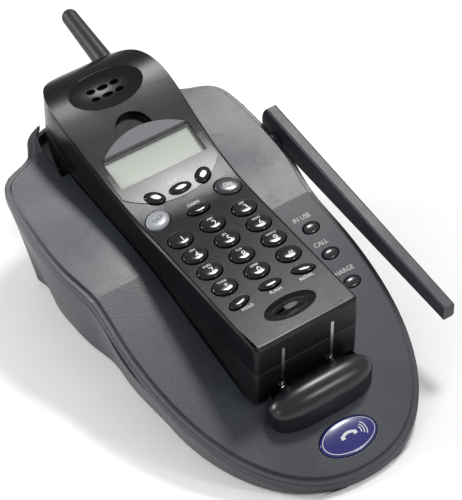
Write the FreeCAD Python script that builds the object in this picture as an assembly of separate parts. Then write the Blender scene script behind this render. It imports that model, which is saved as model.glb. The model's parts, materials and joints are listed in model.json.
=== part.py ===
"""Cordless telephone handset resting in its desk base, as separate bench parts.

Units are millimetres, +Z is up and the desk is z = 0. The base is symmetric about x = 0,
its rounded nose points to -Y, and the origin lies on the desk under the digit keys.
"""
import FreeCAD, Part
import math
import os

V = FreeCAD.Vector

# ---- base driving dimensions
nose_half_width = 62.3          # half width of the top edge where the nose starts
nose_start_y = -6.4
nose_length = 92.0
nose_roundness = 2.25           # exponent of the nose outline, 2 would be an ellipse
crease_y = 22.7                 # where the front slope meets the rear deck
crease_z = 49.5
front_slope = 0.350             # rise per mm towards the rear
deck_slope = 0.244
cup_rim_z = 69.0
band_out = 2.9                  # the side band stands this far outside the top edge
band_drop = 1.6
parting_drop = 5.6              # the two housings meet this far below the top
side_taper = 0.28               # lower housing leans in this much per mm of height
nose_taper = 0.38
rear_taper = 0.10
housing_wall = 2.4
floor_z = 0.8                   # underside of the lower housing, the feet stand below it
floor_thick = 2.4
foot_radius = 6.0
foot_spots = [(-30, 72), (30, 72), (-30, -60), (30, -60)]
base_screw_spots = [(-40, 40), (40, 40), (-36, -44), (36, -44)]
screw_boss_top = 11.0
jack_x = 20.0
jack_face_y = 112.0

# ---- handset driving dimensions
hs_front_y = -54.0
hs_half_width = 29.0
hs_corner_r = 2.5
hs_wall = 2.0
keypad_tilt = math.radians(6.5)
keypad_z = 64.16                # height of the face at y = 0
cradle_gap = 0.5
cradle_wall = 2.2
bowl_gap = 4.2                  # room round the handset's head
bowl_start_y = 86.0
bowl_floor_z = 59.0
face_bend_y = 27.5

# ---- keys
column_pitch = 18.0
row_pitch = 11.1
key_gap = 0.35
digit_semi = (6.1, 4.6)

# ---- folding base antenna
blade_x = 68.4
blade_width = 6.5
blade_rear = (69.0, 67.6)       # y, z of the rear end of its top edge
blade_front = (-67.6, 37.9)
blade_rear_height = 15.0
blade_front_height = 7.7
pivot_y = 58.0
pivot_z = 54.0
pivot_boss_r = 3.9
pin_radius = 2.0
pin_head_r = 2.6
pin_clearance = 0.06


# ------------------------------------------------------------------ drawing helpers
def spline(points, closed=False, ends=None):
    curve = Part.BSplineCurve()
    if ends:
        curve.interpolate(Points=points, InitialTangent=ends[0], FinalTangent=ends[1])
    else:
        curve.interpolate(Points=points, PeriodicFlag=closed)
    return curve.toShape()


def offset_path(points, distance):
    """Move each 2D point along the path's left-hand normal."""
    moved = []
    last = len(points) - 1
    for i, (u, v) in enumerate(points):
        u0, v0 = points[max(i - 1, 0)]
        u1, v1 = points[min(i + 1, last)]
        length = math.hypot(u1 - u0, v1 - v0)
        moved.append((u - (v1 - v0) / length * distance, v + (u1 - u0) / length * distance))
    return moved


def prism(edges, z_low, z_high):
    face = Part.Face(Part.Wire(Part.__sortEdges__(edges)))
    solid = face.extrude(V(0, 0, z_high - z_low))
    solid.translate(V(0, 0, z_low))
    return solid


def box(x_low, x_high, y_low, y_high, z_low, z_high):
    return Part.makeBox(x_high - x_low, y_high - y_low, z_high - z_low, V(x_low, y_low, z_low))


def rod(radius, start, end):
    direction = V(*end).sub(V(*start))
    return Part.makeCylinder(radius, direction.Length, V(*start), direction)


def fuse_all(shapes):
    return shapes[0].multiFuse(shapes[1:]).removeSplitter() if len(shapes) > 1 else shapes[0]


def group(shapes):
    return Part.makeCompound(shapes)


# ------------------------------------------------------------------ base outline and slopes
def edge_points(offset=0.0):
    """Right half of the base's top edge, nose to rear centre, moved outwards by offset."""
    points = []
    for step in range(13):
        angle = math.radians(90 * step / 12)
        x = nose_half_width * math.sin(angle) ** (2 / nose_roundness)
        y = nose_start_y - nose_length * math.cos(angle) ** (2 / nose_roundness)
        points.append((x, y))
    points += [(61.3, 10.0), (60.8, 23.8), (63.6, 40.0), (64.6, 56.0), (63.6, 74.0)]
    points += [(61.8, 87.0), (59.4, 93.2), (54.6, 96.6), (47.0, 99.0), (41.5, 101.8)]
    points += [(37.6, 106.6), (34.2, 112.4), (28.0, 117.0), (14.5, 120.6), (0.0, 121.6)]
    moved = offset_path(points, -offset)
    moved[0] = (0.0, points[0][1] - offset)
    moved[-1] = (0.0, points[-1][1] + offset)
    return moved


def closed_outline(half, z=0.0):
    left = [(-x, y) for x, y in reversed(half[1:-1])]
    return [spline([V(x, y, z) for x, y in half + left], closed=True)]


def below_slopes(drop):
    """Everything under the base's top surface, lowered by drop."""
    reach = 160.0
    front_z = crease_z - front_slope * (reach + crease_y) - drop
    rear_z = crease_z + deck_slope * (reach - crease_y) - drop
    side = [(-reach, -200.0), (-reach, front_z), (crease_y, crease_z - drop)]
    side += [(reach, rear_z), (reach, -200.0)]
    wire = Part.makePolygon([V(-90, y, z) for y, z in side + side[:1]])
    solid = Part.Face(wire).extrude(V(180, 0, 0))
    return solid.common(box(-90, 90, -reach, reach, -1, cup_rim_z - drop))


def housing_block(offset, drop):
    return prism(closed_outline(edge_points(offset)), -1, 90).common(below_slopes(drop))


def surface_z(y, drop=0.0):
    slope = front_slope if y < crease_y else deck_slope
    return crease_z + slope * (y - crease_y) - drop


def lean(half, i):
    """How far outline point i moves in x and y per mm of height."""
    x, y = half[i]
    if y < crease_y:
        x0, y0 = half[max(i - 1, 0)]
        x1, y1 = half[i + 1]
        length = math.hypot(x1 - x0, y1 - y0)
        normal = (0.0, -1.0) if i == 0 else ((y1 - y0) / length, -(x1 - x0) / length)
        nose_share = min(max((10.0 - y) / 30.0, 0.0), 1.0)
        taper = side_taper + (nose_taper - side_taper) * nose_share
        return taper * normal[0], taper * normal[1]
    rear_share = min(max((y - 88.0) / 30.0, 0.0), 1.0)
    return side_taper * (1 - rear_share) * min(x / 20, 1.0), rear_taper * rear_share


def leaning_block(offset, z_low, z_high):
    """Lower housing as a loft, whose sides lean in towards the desk."""
    half = edge_points(band_out + offset)
    rings = []
    for z in (z_low, z_high):
        ring = []
        for i, (x, y) in enumerate(half):
            lean_x, lean_y = lean(half, i)
            height = z - min(surface_z(y, parting_drop), cup_rim_z - parting_drop)
            ring.append((x + lean_x * height, y + lean_y * height))
        rings.append(Part.Wire(closed_outline(ring, z)))
    return Part.makeLoft(rings, True, True)


# ------------------------------------------------------------------ handset outline
face_points = [(27.5, 67.3), (42.4, 70.1), (55.1, 73.9), (67.8, 78.8), (84.7, 86.0), (98.0, 91.2)]
face_points += [(108.0, 93.5), (116.0, 93.0), (122.0, 89.8), (124.4, 84.0)]
back_points = [(124.4, 84.0), (121.5, 78.5), (112.0, 69.5), (100.0, 61.5), (75.0, 50.5)]
back_points += [(50.0, 42.5), (20.0, 35.6), (-54.0, 24.0)]
back_slope = 0.157              # rise of the handset's back near its front end
split_points = [(-80.0, 39.4), (-54.0, 42.3), (0.0, 48.4), (30.0, 52.2), (60.0, 59.6)]
split_points += [(90.0, 70.4), (110.0, 77.0), (140.0, 84.0)]
plan_points = [(29.0, 15.0), (29.5, 42.0), (30.8, 70.0), (31.4, 90.0), (29.8, 105.0)]
plan_points += [(24.8, 115.5), (14.5, 122.0), (0.0, 124.4)]


def face_edges(drop, x=0.0):
    """The face's side profile, lowered square to itself, as edges in a plane of constant x."""
    bend = offset_path(face_points, -drop)
    start_z = keypad_z + math.tan(keypad_tilt) * (hs_front_y - 20) - drop
    line = Part.makeLine(V(x, hs_front_y - 20, start_z), V(x, *bend[0]))
    direction = V(0, math.cos(keypad_tilt), math.sin(keypad_tilt))
    curve = spline([V(x, *p) for p in bend], ends=(direction, V(0, 0, -1)))
    return line, curve


def face_at(y):
    """Height and slope angle of the face at y."""
    if y <= face_bend_y:
        return keypad_z + math.tan(keypad_tilt) * y, keypad_tilt
    curve = face_edges(0)[1].Curve
    low, high = curve.FirstParameter, curve.LastParameter
    for _ in range(40):
        middle = (low + high) / 2
        if curve.value(middle).y < y:
            low = middle
        else:
            high = middle
    tangent = curve.tangent(low)[0]
    return curve.value(low).z, math.atan2(tangent.z, tangent.y)


def side_slab(top_drop, bottom_drop):
    """Space between two depths under the face, across the whole width."""
    top = Part.Wire(face_edges(0, -40))
    bottom = top.copy()
    top.translate(V(0, 0, -top_drop))
    bottom.translate(V(0, 0, -bottom_drop))
    first = Part.makeLine(top.Edges[0].Vertexes[0].Point, bottom.Edges[0].Vertexes[0].Point)
    last = Part.makeLine(top.Edges[1].Vertexes[-1].Point, bottom.Edges[1].Vertexes[-1].Point)
    wire = Part.Wire(Part.__sortEdges__([*top.Edges, *bottom.Edges, first, last]))
    return Part.Face(wire).extrude(V(80, 0, 0))


def under_split():
    """Everything below the line where the front and rear shells meet."""
    split = spline([V(-45, y, z) for y, z in split_points])
    corners = [V(-45, *split_points[-1]), V(-45, split_points[-1][0], 0), V(-45, split_points[0][0], 0)]
    corners.append(V(-45, *split_points[0]))
    edges = [split] + [Part.makeLine(corners[i], corners[i + 1]) for i in range(3)]
    return Part.Face(Part.Wire(Part.__sortEdges__(edges))).extrude(V(90, 0, 0))


def side_profile(grow):
    face = face_edges(-grow, -40)
    back = offset_path(back_points, grow)
    tip = face[1].Vertexes[-1].Point
    back[0] = (tip.y, tip.z)
    back[-1] = (hs_front_y - 20, back[-1][1] - back_slope * 20)
    under = spline([V(-40, *p) for p in back])
    front = Part.makeLine(V(-40, *back[-1]), face[0].Vertexes[0].Point)
    edges = [*face, under, front]
    wire = Part.Wire(Part.__sortEdges__(edges))
    return Part.Face(wire).extrude(V(80, 0, 0))


def handset_plan(grow, z_low=0.0, z_high=150.0):
    half = offset_path(plan_points, -grow)
    half[0] = (hs_half_width + grow, plan_points[0][1])
    half[-1] = (0.0, plan_points[-1][1] + grow)
    left = [(-x, y) for x, y in reversed(half[:-1])]
    curve = spline([V(x, y, 0) for x, y in half + left], ends=(V(0, 1, 0), V(0, -1, 0)))
    w = hs_half_width + grow
    y0 = hs_front_y - grow
    r = max(hs_corner_r + grow, 0.4)
    m = r * (1 - math.sqrt(0.5))
    edges = [curve, Part.makeLine(V(w, half[0][1], 0), V(w, y0 + r, 0))]
    edges.append(Part.Arc(V(w, y0 + r, 0), V(w - m, y0 + m, 0), V(w - r, y0, 0)).toShape())
    edges.append(Part.makeLine(V(w - r, y0, 0), V(r - w, y0, 0)))
    edges.append(Part.Arc(V(r - w, y0, 0), V(m - w, y0 + m, 0), V(-w, y0 + r, 0)).toShape())
    edges.append(Part.makeLine(V(-w, y0 + r, 0), V(-w, half[0][1], 0)))
    return prism(edges, z_low, z_high)


def handset_block(grow):
    return handset_plan(grow).common(side_profile(grow))


def on_face(shape, x, y, turn=0.0):
    """Stand a shape drawn about the origin square to the handset's face at x, y."""
    z, slope = face_at(y)
    tilt = FreeCAD.Rotation(V(1, 0, 0), math.degrees(slope))
    spin = FreeCAD.Rotation(V(0, 0, 1), turn)
    placed = shape.copy()
    spot = FreeCAD.Placement(V(x, y, z), tilt.multiply(spin))
    placed.Placement = spot.multiply(shape.Placement)
    return placed


def oval(semi_x, semi_y, z_low, z_high):
    if semi_x >= semi_y:
        edge = Part.Ellipse(V(0, 0, 0), semi_x, semi_y).toShape()
    else:
        edge = Part.Ellipse(V(0, semi_y, 0), V(semi_x, 0, 0), V(0, 0, 0)).toShape()
    return prism([edge], z_low, z_high)


# ------------------------------------------------------------------ base parts
def cradle_space(grow, lower):
    """Room for the handset, open upwards."""
    back = [(y, z - lower) for y, z in back_points]
    points = [V(-45, *p) for p in back[1:-1]] + [V(-45, hs_front_y - 20, back[-1][1] - back_slope * 20)]
    under = spline(points)
    rear_y = 140.0
    corners = [points[-1], V(-45, hs_front_y - 20, 130), V(-45, rear_y, 130)]
    corners += [V(-45, rear_y, back[0][1] + 8), points[0]]
    edges = [under] + [Part.makeLine(corners[i], corners[i + 1]) for i in range(len(corners) - 1)]
    space = Part.Face(Part.Wire(Part.__sortEdges__(edges))).extrude(V(90, 0, 0))
    return space.common(handset_plan(grow))


def head_bowl(grow):
    """Wider hollow in the rear of the cradle, round the handset's head."""
    space = box(-60, 60, bowl_start_y - grow, 140, bowl_floor_z - grow, 90)
    return handset_plan(bowl_gap + grow).common(space)


def lens_spots():
    return [(49.8, 6.4), (49.8, -8.4), (49.8, -24.7)]


def slope_point(x, y, shape):
    """Stand a shape square to the base's front slope."""
    slope = math.degrees(math.atan(front_slope))
    placed = shape.copy()
    spot = FreeCAD.Placement(V(x, y, surface_z(y)), FreeCAD.Rotation(V(1, 0, 0), slope))
    placed.Placement = spot.multiply(shape.Placement)
    return placed


def screw_posts(radius, z_low, z_high):
    return [rod(radius, (x, y, z_low), (x, y, z_high)) for x, y in base_screw_spots]


def make_upper_housing():
    crown = housing_block(0, 0).fuse(housing_block(band_out, band_drop))
    hollow = housing_block(-housing_wall, housing_wall)
    shell = crown.cut(hollow).cut(below_slopes(parting_drop))
    inside = housing_block(-1.0, 1.0)
    tray = cradle_space(cradle_gap + cradle_wall, cradle_gap + cradle_wall).common(inside)
    posts = [p.common(inside) for p in screw_posts(3.4, screw_boss_top, 80)]
    holes = screw_posts(1.25, screw_boss_top - 1, screw_boss_top + 6)
    bowl = head_bowl(cradle_wall).common(inside)
    body = fuse_all([shell, tray, bowl, *posts])
    body = body.cut(cradle_space(cradle_gap, cradle_gap)).cut(head_bowl(0))
    body = body.cut(group(holes))
    windows = [slope_point(x, y, oval(4.6, 3.0, -6, 3)) for x, y in lens_spots()]
    body = body.cut(group(windows))
    badge_pocket = slope_point(0, -84.5, oval(15.2, 8.7, -0.8, 4))
    body = body.cut(badge_pocket)
    boss = rod(pivot_boss_r, (58, pivot_y, pivot_z), (blade_x - 0.35, pivot_y, pivot_z))
    body = body.fuse(boss).cut(rod(pin_head_r + 0.1, (54, pivot_y, pivot_z), (58, pivot_y, pivot_z)))
    return body.cut(rod(pin_radius, (57, pivot_y, pivot_z), (blade_x, pivot_y, pivot_z)))


def jack_cut(x, half_width, z_low, z_high):
    return box(x - half_width, x + half_width, 90, 130, z_low, z_high)


def make_lower_housing():
    outer = leaning_block(0, floor_z, 75).common(below_slopes(parting_drop))
    inner = leaning_block(-housing_wall, floor_z + floor_thick, 76)
    bosses = [p.common(below_slopes(parting_drop)) for p in screw_posts(4.2, 1.5, screw_boss_top)]
    stand_offs = [rod(3.0, (x, y, 2), (x, y, 7)) for x in (-38, 38) for y in (0, 74)]
    body = fuse_all([outer.cut(inner), *bosses, *stand_offs])
    body = body.cut(group(screw_posts(1.7, 0, screw_boss_top + 1)))
    body = body.cut(group(screw_posts(3.3, 0, 4.0)))
    pads = [rod(foot_radius, (x, y, 0), (x, y, floor_z + 0.8)) for x, y in foot_spots]
    body = body.cut(group(pads))
    body = body.cut(cradle_space(cradle_gap + cradle_wall + 0.3, cradle_gap + cradle_wall + 0.3))
    body = body.cut(jack_cut(-jack_x, 7.6, 13.7, 26.3))
    body = body.cut(jack_cut(jack_x, 5.1, 13.7, 25.3))
    return body.cut(rod(5.0, (56, pivot_y, pivot_z), (blade_x + 2, pivot_y, pivot_z)))


def make_feet():
    return group([rod(foot_radius - 0.1, (x, y, 0), (x, y, floor_z + 0.8)) for x, y in foot_spots])


def make_base_screws():
    screws = []
    for x, y in base_screw_spots:
        head = rod(3.0, (x, y, 2.0), (x, y, 4.0))
        shank = rod(1.2, (x, y, 3.9), (x, y, screw_boss_top + 4.5))
        cross = box(x - 1.8, x + 1.8, y - 0.4, y + 0.4, 1.5, 3.0)
        cross = cross.fuse(box(x - 0.4, x + 0.4, y - 1.8, y + 1.8, 1.5, 3.0))
        screws.append(head.fuse(shank).cut(cross))
    return group(screws)


charge_y = (-73.0, -56.4)
charge_half_width = 28.2
contact_x = 13.8
contact_z = (24.2, 28.6)
contact_width = 3.0
contact_travel = 1.2


def make_charge_block():
    """Bolster shaped stop in front of the handset, which carries the two charge contacts."""
    y0, y1 = charge_y
    w = charge_half_width
    radius = (y1 - y0) / 2 + 0.7
    middle_y = y0 + radius
    middle_z = surface_z(-65) + 15.5 - radius
    curve_points = []
    for step in range(17):
        along = math.cos(math.pi * step / 16)
        across = (1 - abs(along) ** 3.4) ** (1 / 2.2)
        curve_points.append(V(w * along, middle_y - radius * across, middle_z))
    front = spline(curve_points)
    chord = Part.makeLine(curve_points[0], curve_points[-1])
    half_plan = Part.Face(Part.Wire([front, chord]))
    crown = half_plan.revolve(V(0, middle_y, middle_z), V(1, 0, 0), -180)
    skirt = half_plan.extrude(V(0, 0, -20))
    rear = box(4.6 - w, w - 4.6, middle_y - 1, y1, 10, middle_z + radius * 0.55)
    block = crown.fuse(skirt).fuse(rear).cut(below_slopes(0))
    block = block.common(box(-w, w, y0 - 1, y1, 0, 60))
    for x in (-contact_x, contact_x):
        w2 = contact_width / 2 + 0.3
        slot = box(x - w2, x + w2, y1 - 6.2, y1 + 1, contact_z[0] - 0.3, contact_z[1] + 0.3)
        block = block.cut(slot)
    return block


def make_charge_contact(side):
    x = side * contact_x
    half = contact_width / 2
    y_nose = hs_front_y - 0.45
    blade = box(x - half, x + half, charge_y[1] - 4.6, y_nose, *contact_z)
    nose_edges = [e for e in blade.Edges if abs(e.CenterOfMass.y - y_nose) < 0.01]
    nose_edges = [e for e in nose_edges if abs(e.Vertexes[0].Z - e.Vertexes[-1].Z) < 0.01]
    return blade.makeFillet(0.9, nose_edges)


def make_lens(spot):
    x, y = spot
    bead = oval(4.3, 2.7, -3.4, 0.9)
    dome = Part.makeSphere(9.0, V(0, 0, -8.1))
    collar = oval(5.4, 3.8, -3.4, -2.45)
    return slope_point(x, y, bead.common(dome).fuse(collar))


def make_badge():
    plate = oval(15.0, 8.5, -0.8, 1.3)
    return slope_point(0, -84.5, plate.common(Part.makeSphere(80.0, V(0, 0, -78.8))))


def make_indicator_board():
    return slope_point(49.8, -9, box(-5.0, 5.0, -24, 24, -9.6, -8.0))


def make_indicator_leds():
    leds = []
    for x, y in lens_spots():
        led = rod(1.5, (0, 0, -8.0), (0, 0, -5.4)).fuse(Part.makeSphere(1.5, V(0, 0, -5.4)))
        leds.append(slope_point(x, y, led.cut(box(-4, 4, -4, 4, -12, -8.0))))
    return group(leds)


board_z = (7.0, 8.6)


def make_base_board():
    board = box(-42, 42, -6, 80, *board_z)
    for x, y in base_screw_spots:
        board = board.cut(rod(5.0, (x, y, 0), (x, y, 20)))
    return board


def make_rf_can():
    can = box(-16, 16, 2, 30, board_z[1], board_z[1] + 6)
    return can.cut(box(-15.4, 15.4, 2.6, 29.4, board_z[1] - 1, board_z[1] + 5.4))


def make_base_chips():
    big = box(-10, 10, 38, 52, board_z[1], board_z[1] + 2.4)
    small = [box(x, x + 8, 58, 64, board_z[1], board_z[1] + 1.8) for x in (-26, -12, 2)]
    cans = [rod(3.2, (x, 70, board_z[1]), (x, 70, board_z[1] + 9)) for x in (-14, 0, 14)]
    return group([big, *small, *cans])


def make_line_jack():
    """Six-way modular telephone socket, open to the rear."""
    x, y = -jack_x, jack_face_y
    body = box(x - 7, x + 7, y - 14.8, y, 14.0, 26.0)
    socket = box(x - 5.2, x + 5.2, y - 11, y + 1, 16.6, 23.6)
    key_way = box(x - 2, x + 2, y - 11, y + 1, 15.2, 17)
    wire_places = [x + 1.3 * (i - 1.5) for i in range(4)]
    wires = [box(w - 0.25, w + 0.25, y - 11.5, y - 4, 22.8, 23.7) for w in wire_places]
    return fuse_all([body.cut(socket).cut(key_way), *wires])


def make_dc_jack():
    x, y = jack_x, jack_face_y
    body = box(x - 4.8, x + 4.8, y - 14.8, y, 14.0, 25.0)
    bore = rod(2.9, (x, y - 11, 19.5), (x, y + 1, 19.5))
    pin = rod(0.9, (x, y - 12, 19.5), (x, y - 1.5, 19.5))
    return body.cut(bore).fuse(pin)


def make_hinge_pin():
    pin = rod(pin_radius, (57.6, pivot_y, pivot_z), (blade_x + blade_width - 1.5, pivot_y, pivot_z))
    return pin.fuse(rod(pin_head_r, (56.2, pivot_y, pivot_z), (57.9, pivot_y, pivot_z)))


def make_blade():
    """Folding antenna cover, tapered towards its tip and rounded behind its pivot."""
    ry, rz = blade_rear
    fy, fz = blade_front
    slope = (rz - fz) / (ry - fy)
    top = [V(0, fy, fz), V(0, ry - 3, rz - 3 * slope)]
    rear_mid = V(0, ry, rz - blade_rear_height / 2)
    low_rear = V(0, ry - 3, rz - 3 * slope - blade_rear_height)
    low_front = V(0, fy, fz - blade_front_height)
    edges = [Part.makeLine(top[0], top[1]), Part.Arc(top[1], rear_mid, low_rear).toShape()]
    edges += [Part.makeLine(low_rear, low_front), Part.makeLine(low_front, top[0])]
    solid = Part.Face(Part.Wire(edges)).extrude(V(blade_width, 0, 0))
    long_edges = [e for e in solid.Edges if e.Length > 100]
    solid = solid.makeFillet(1.2, long_edges)
    solid.translate(V(blade_x, 0, 0))
    reach = pin_radius + pin_clearance
    bore = rod(reach, (blade_x - 1, pivot_y, pivot_z), (blade_x + blade_width - 1.4, pivot_y, pivot_z))
    return solid.cut(bore).cut(make_aerial_room(0.2))


def make_aerial_room(grow):
    ry, rz = blade_rear
    fy, fz = blade_front
    slope = (rz - fz) / (ry - fy)
    x = blade_x + blade_width / 2
    start = (x, 46.0, rz - slope * (ry - 46.0) - 5.2)
    end = (x, fy + 6, fz + slope * 6 - 4.0)
    return rod(1.0 + grow, start, end)


# ------------------------------------------------------------------ handset parts
def key_list():
    """Name, x, y, half sizes and turn of every key."""
    keys = []
    names = [["1", "2", "3"], ["4", "5", "6"], ["7", "8", "9"], ["star", "0", "hash"]]
    for row, line in enumerate(names):
        for column, name in enumerate(line):
            y = (1.5 - row) * row_pitch
            keys.append((f"key_{name}", (column - 1) * column_pitch, y, *digit_semi, 0))
    keys.append(("key_talk", -19.8, 31.6, 6.4, 5.0, 20))
    keys.append(("key_off", 19.8, 31.6, 6.4, 5.0, -20))
    keys.append(("key_channel", 0.0, 27.2, 5.8, 2.7, 0))
    keys.append(("key_select", 0.0, 41.6, 5.8, 2.7, 0))
    keys.append(("key_down", -13.6, 42.6, 4.9, 3.3, -32))
    keys.append(("key_up", 13.6, 42.6, 4.9, 3.3, 32))
    keys.append(("key_function_left", -18.0, -27.4, 5.6, 2.5, 12))
    keys.append(("key_function_middle", 0.0, -26.4, 5.6, 2.5, 0))
    keys.append(("key_function_right", 18.0, -27.4, 5.6, 2.5, -12))
    return keys


def make_key(x, y, semi_x, semi_y, turn):
    cap = oval(semi_x, semi_y, -1.6, 1.5)
    radius = (semi_x ** 2 + 1.0) / 2.0
    cap = cap.common(Part.makeSphere(radius + 2, V(0, 0, 1.5 - radius - 2)))
    flange = oval(semi_x - 0.4, semi_y - 0.4, -3.6, -1.6)
    return on_face(cap.fuse(flange), x, y, turn)


def make_key_holes(grow):
    holes = []
    for _, x, y, semi_x, semi_y, turn in key_list():
        holes.append(on_face(oval(semi_x + grow, semi_y + grow, -4.4, 4), x, y, turn))
    return group(holes)


window = (24.0, 53.4, 68.8)     # half width, low y, high y


def window_room(grow, z_low=0, z_high=150):
    half, y_low, y_high = window
    return box(-half - grow, half + grow, y_low - grow, y_high + grow, z_low, z_high)


ear_y = 100.2
ear_semi = (20.0, 12.6)
ear_depth = 3.0
mic_y = -41.0
mic_semi = (14.0, 6.0)
mic_depth = 1.7


def ear_slots():
    slots = []
    for row, y_shift in enumerate((2.3, -2.3)):
        for column in (-1, 0, 1):
            semi_x = 2.3 if column else 2.9
            x = column * 6.6
            slots.append(on_face(oval(semi_x, 1.1, -12, 4), x, ear_y + y_shift))
    return group(slots)


def scoop(semi_x, semi_y, depth):
    """Shallow oval bowl cut from above, drawn about the origin with its rim at z = 0."""
    radius = (semi_x ** 2 + depth ** 2) / (2 * depth)
    ball = Part.makeSphere(radius, V(0, 0, radius - depth))
    squeeze = FreeCAD.Matrix()
    squeeze.scale(V(1, semi_y / semi_x, 1))
    return ball.transformGeometry(squeeze)


def hook_pocket():
    disc = rod(9.4, (0, 0, -3.4), (0, 0, 8)).cut(box(-20, 20, -20, 0, -5, 10))
    return on_face(disc, 0, 76.4)


def mic_dish():
    bowl = scoop(*mic_semi, mic_depth)
    eye = scoop(8.6, 3.0, 1.0).mirror(V(0, 0, 0), V(0, 0, 1))
    eye.translate(V(0, 0, -mic_depth + 0.9))
    return on_face(bowl.cut(eye), 0, mic_y)


def make_front_shell():
    outer = handset_block(0)
    shell = outer.cut(handset_block(-hs_wall)).cut(under_split())
    ear_wall = on_face(oval(ear_semi[0] + 2, ear_semi[1] + 2, -5.2, 4), 0, ear_y)
    ear_wall = ear_wall.common(handset_block(-0.5))
    pocket_wall = on_face(box(-11.2, 11.2, -1.0, 11.2, -5.2, 2), 0, 76.4).common(handset_block(-0.5))
    bosses = [on_face(rod(3.0, (0, 0, -15.0), (0, 0, -1)), x, y) for x, y in handset_screw_spots]
    bosses = [b.common(handset_block(-0.5)).cut(under_split()) for b in bosses]
    mic_wall = on_face(oval(15.5, 7.5, -3.4, 2), 0, mic_y).common(handset_block(-0.5))
    shell = fuse_all([shell, ear_wall, pocket_wall, mic_wall, *bosses])
    dish = on_face(scoop(*ear_semi, ear_depth), 0, ear_y)
    shell = shell.cut(dish).cut(ear_slots()).cut(hook_pocket()).cut(mic_dish())
    shell = shell.cut(make_key_holes(key_gap))
    shell = shell.cut(window_room(0.2).common(side_slab(-6, 1.5)))
    shell = shell.cut(window_room(-0.5))
    shell = shell.cut(on_face(oval(2.6, 0.7, -6, 2), -5.4, mic_y))
    pilots = [on_face(rod(0.95, (0, 0, -15.4), (0, 0, -9)), x, y) for x, y in handset_screw_spots]
    shell = shell.cut(group(pilots)).cut(strip_room(0.05)).cut(aerial_socket(0.1))
    return shell


handset_screw_spots = [(-23.4, -44.0), (23.4, -44.0), (-23.5, 82.0), (23.5, 82.0)]
door_box = (-19.0, 19.0, -47.0, 22.0)


def door_region(grow):
    x0, x1, y0, y1 = door_box
    return box(x0 - grow, x1 + grow, y0 - grow, y1 + grow, 0, 43)


def make_rear_shell():
    shell = handset_block(0).cut(handset_block(-hs_wall)).common(under_split())
    pillars = []
    for x, y in handset_screw_spots:
        pillar = on_face(rod(3.0, (0, 0, -60), (0, 0, -15.0)), x, y)
        pillars.append(pillar.common(handset_block(-0.5)).common(under_split()))
    shell = fuse_all([shell, *pillars])
    for x, y in handset_screw_spots:
        shell = shell.cut(on_face(rod(1.25, (0, 0, -70), (0, 0, -14)), x, y))
        head = on_face(rod(2.4, (0, 0, -70), (0, 0, -21.0)), x, y)
        shell = shell.cut(head)
    shell = shell.cut(door_region(0.15))
    return shell.cut(strip_room(0.05)).cut(aerial_socket(0.1))


def make_battery_door():
    wall = handset_block(0).cut(handset_block(-hs_wall)).common(under_split())
    door = wall.common(door_region(0))
    grips = [box(-10, 10, y, y + 1.0, 0, 150) for y in (-40, -37, -34)]
    return door.cut(group([g.cut(handset_block(-0.6)) for g in grips]))


def make_handset_screws():
    screws = []
    for x, y in handset_screw_spots:
        screw = rod(0.9, (0, 0, -21.1), (0, 0, -9.6)).fuse(rod(2.1, (0, 0, -22.6), (0, 0, -21.0)))
        screws.append(on_face(screw, x, y))
    return group(screws)


strip_z = (25.2, 51.6)


def strip_room(grow):
    strips = []
    for x in (-contact_x, contact_x):
        y0 = hs_front_y - 0.15
        strips.append(box(x - 0.8 - grow, x + 0.8 + grow, y0 - grow, hs_front_y + 0.8 + grow,
                          strip_z[0] - grow, strip_z[1] + grow))
    return group(strips)


aerial_x = 15.0
aerial_base = (112.0, 81.6)      # y, z on the aerial's axis, inside the shell
aerial_rise = math.radians(17.5)
aerial_length = 46.0
aerial_radii = (5.2, 4.1)


def aerial_axis():
    return V(0, math.cos(aerial_rise), math.sin(aerial_rise))


def make_stub_aerial():
    start = V(aerial_x, *aerial_base)
    axis = aerial_axis()
    cone_length = aerial_length - aerial_radii[1]
    cone = Part.makeCone(*aerial_radii, cone_length, start, axis)
    tip = Part.makeSphere(aerial_radii[1], start.add(axis.multiply(cone_length)))
    return cone.fuse(tip).removeSplitter()


def aerial_socket(grow):
    """Round hole through the shells for the stub aerial's foot."""
    start = V(aerial_x, *aerial_base).sub(aerial_axis().multiply(grow))
    return Part.makeCone(aerial_radii[0] + grow, aerial_radii[1] + grow, aerial_length, start, aerial_axis())


def make_lens_cover():
    return window_room(0).common(side_slab(0.2, 1.4))


def make_lcd():
    return box(-25.4, 25.4, 51.6, 70.6, 0, 150).common(side_slab(2.2, 5.4))


def make_hood():
    """Raised crescent over the display that shades it."""
    disc = rod(40.0, (0, 36.0, 0), (0, 36.0, 150))
    crescent = disc.common(box(-40, 40, window[2] + 0.1, 80, 0, 150))
    return crescent.common(side_slab(-1.7, 0)).common(handset_plan(-1.2))


def make_panel():
    """Dark panel below the display, a shallow bow, with holes for its three keys."""
    bow = rod(38.0, (0, 75.4, 0), (0, 75.4, 150))
    panel = bow.common(box(-27.0, 27.0, 30, 61.9, 0, 150)).cut(window_room(0.1))
    panel = panel.common(side_slab(-0.35, 0)).common(handset_plan(-1.2))
    return panel.cut(make_key_holes(key_gap))


def make_keypad_mat():
    return box(-25.5, 25.5, -34, 48.5, 0, 150).common(side_slab(5.0, 6.4))


def make_handset_board():
    board = box(-25.5, 25.5, -49, 80, 0, 150).common(side_slab(6.6, 8.2))
    spaces = [on_face(rod(3.5, (0, 0, -20.0), (0, 0, 0)), x, y) for x, y in handset_screw_spots]
    return board.cut(group(spaces))


def make_earpiece():
    return on_face(rod(12.2, (0, 0, -10.4), (0, 0, -5.4)), 0, ear_y)


def make_microphone():
    return on_face(rod(3.0, (0, 0, -6.0), (0, 0, -3.8)), -5.4, mic_y)


def make_ringer():
    return on_face(rod(8.0, (0, 0, -13.5), (0, 0, -8.4)), 0, 74.0)


def make_battery():
    cells = []
    for x in (-12.4, 0, 12.4):
        cells.append(rod(5.9, (x, -44, 37.6), (x, 10, 44.6)))
    return group(cells)


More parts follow.
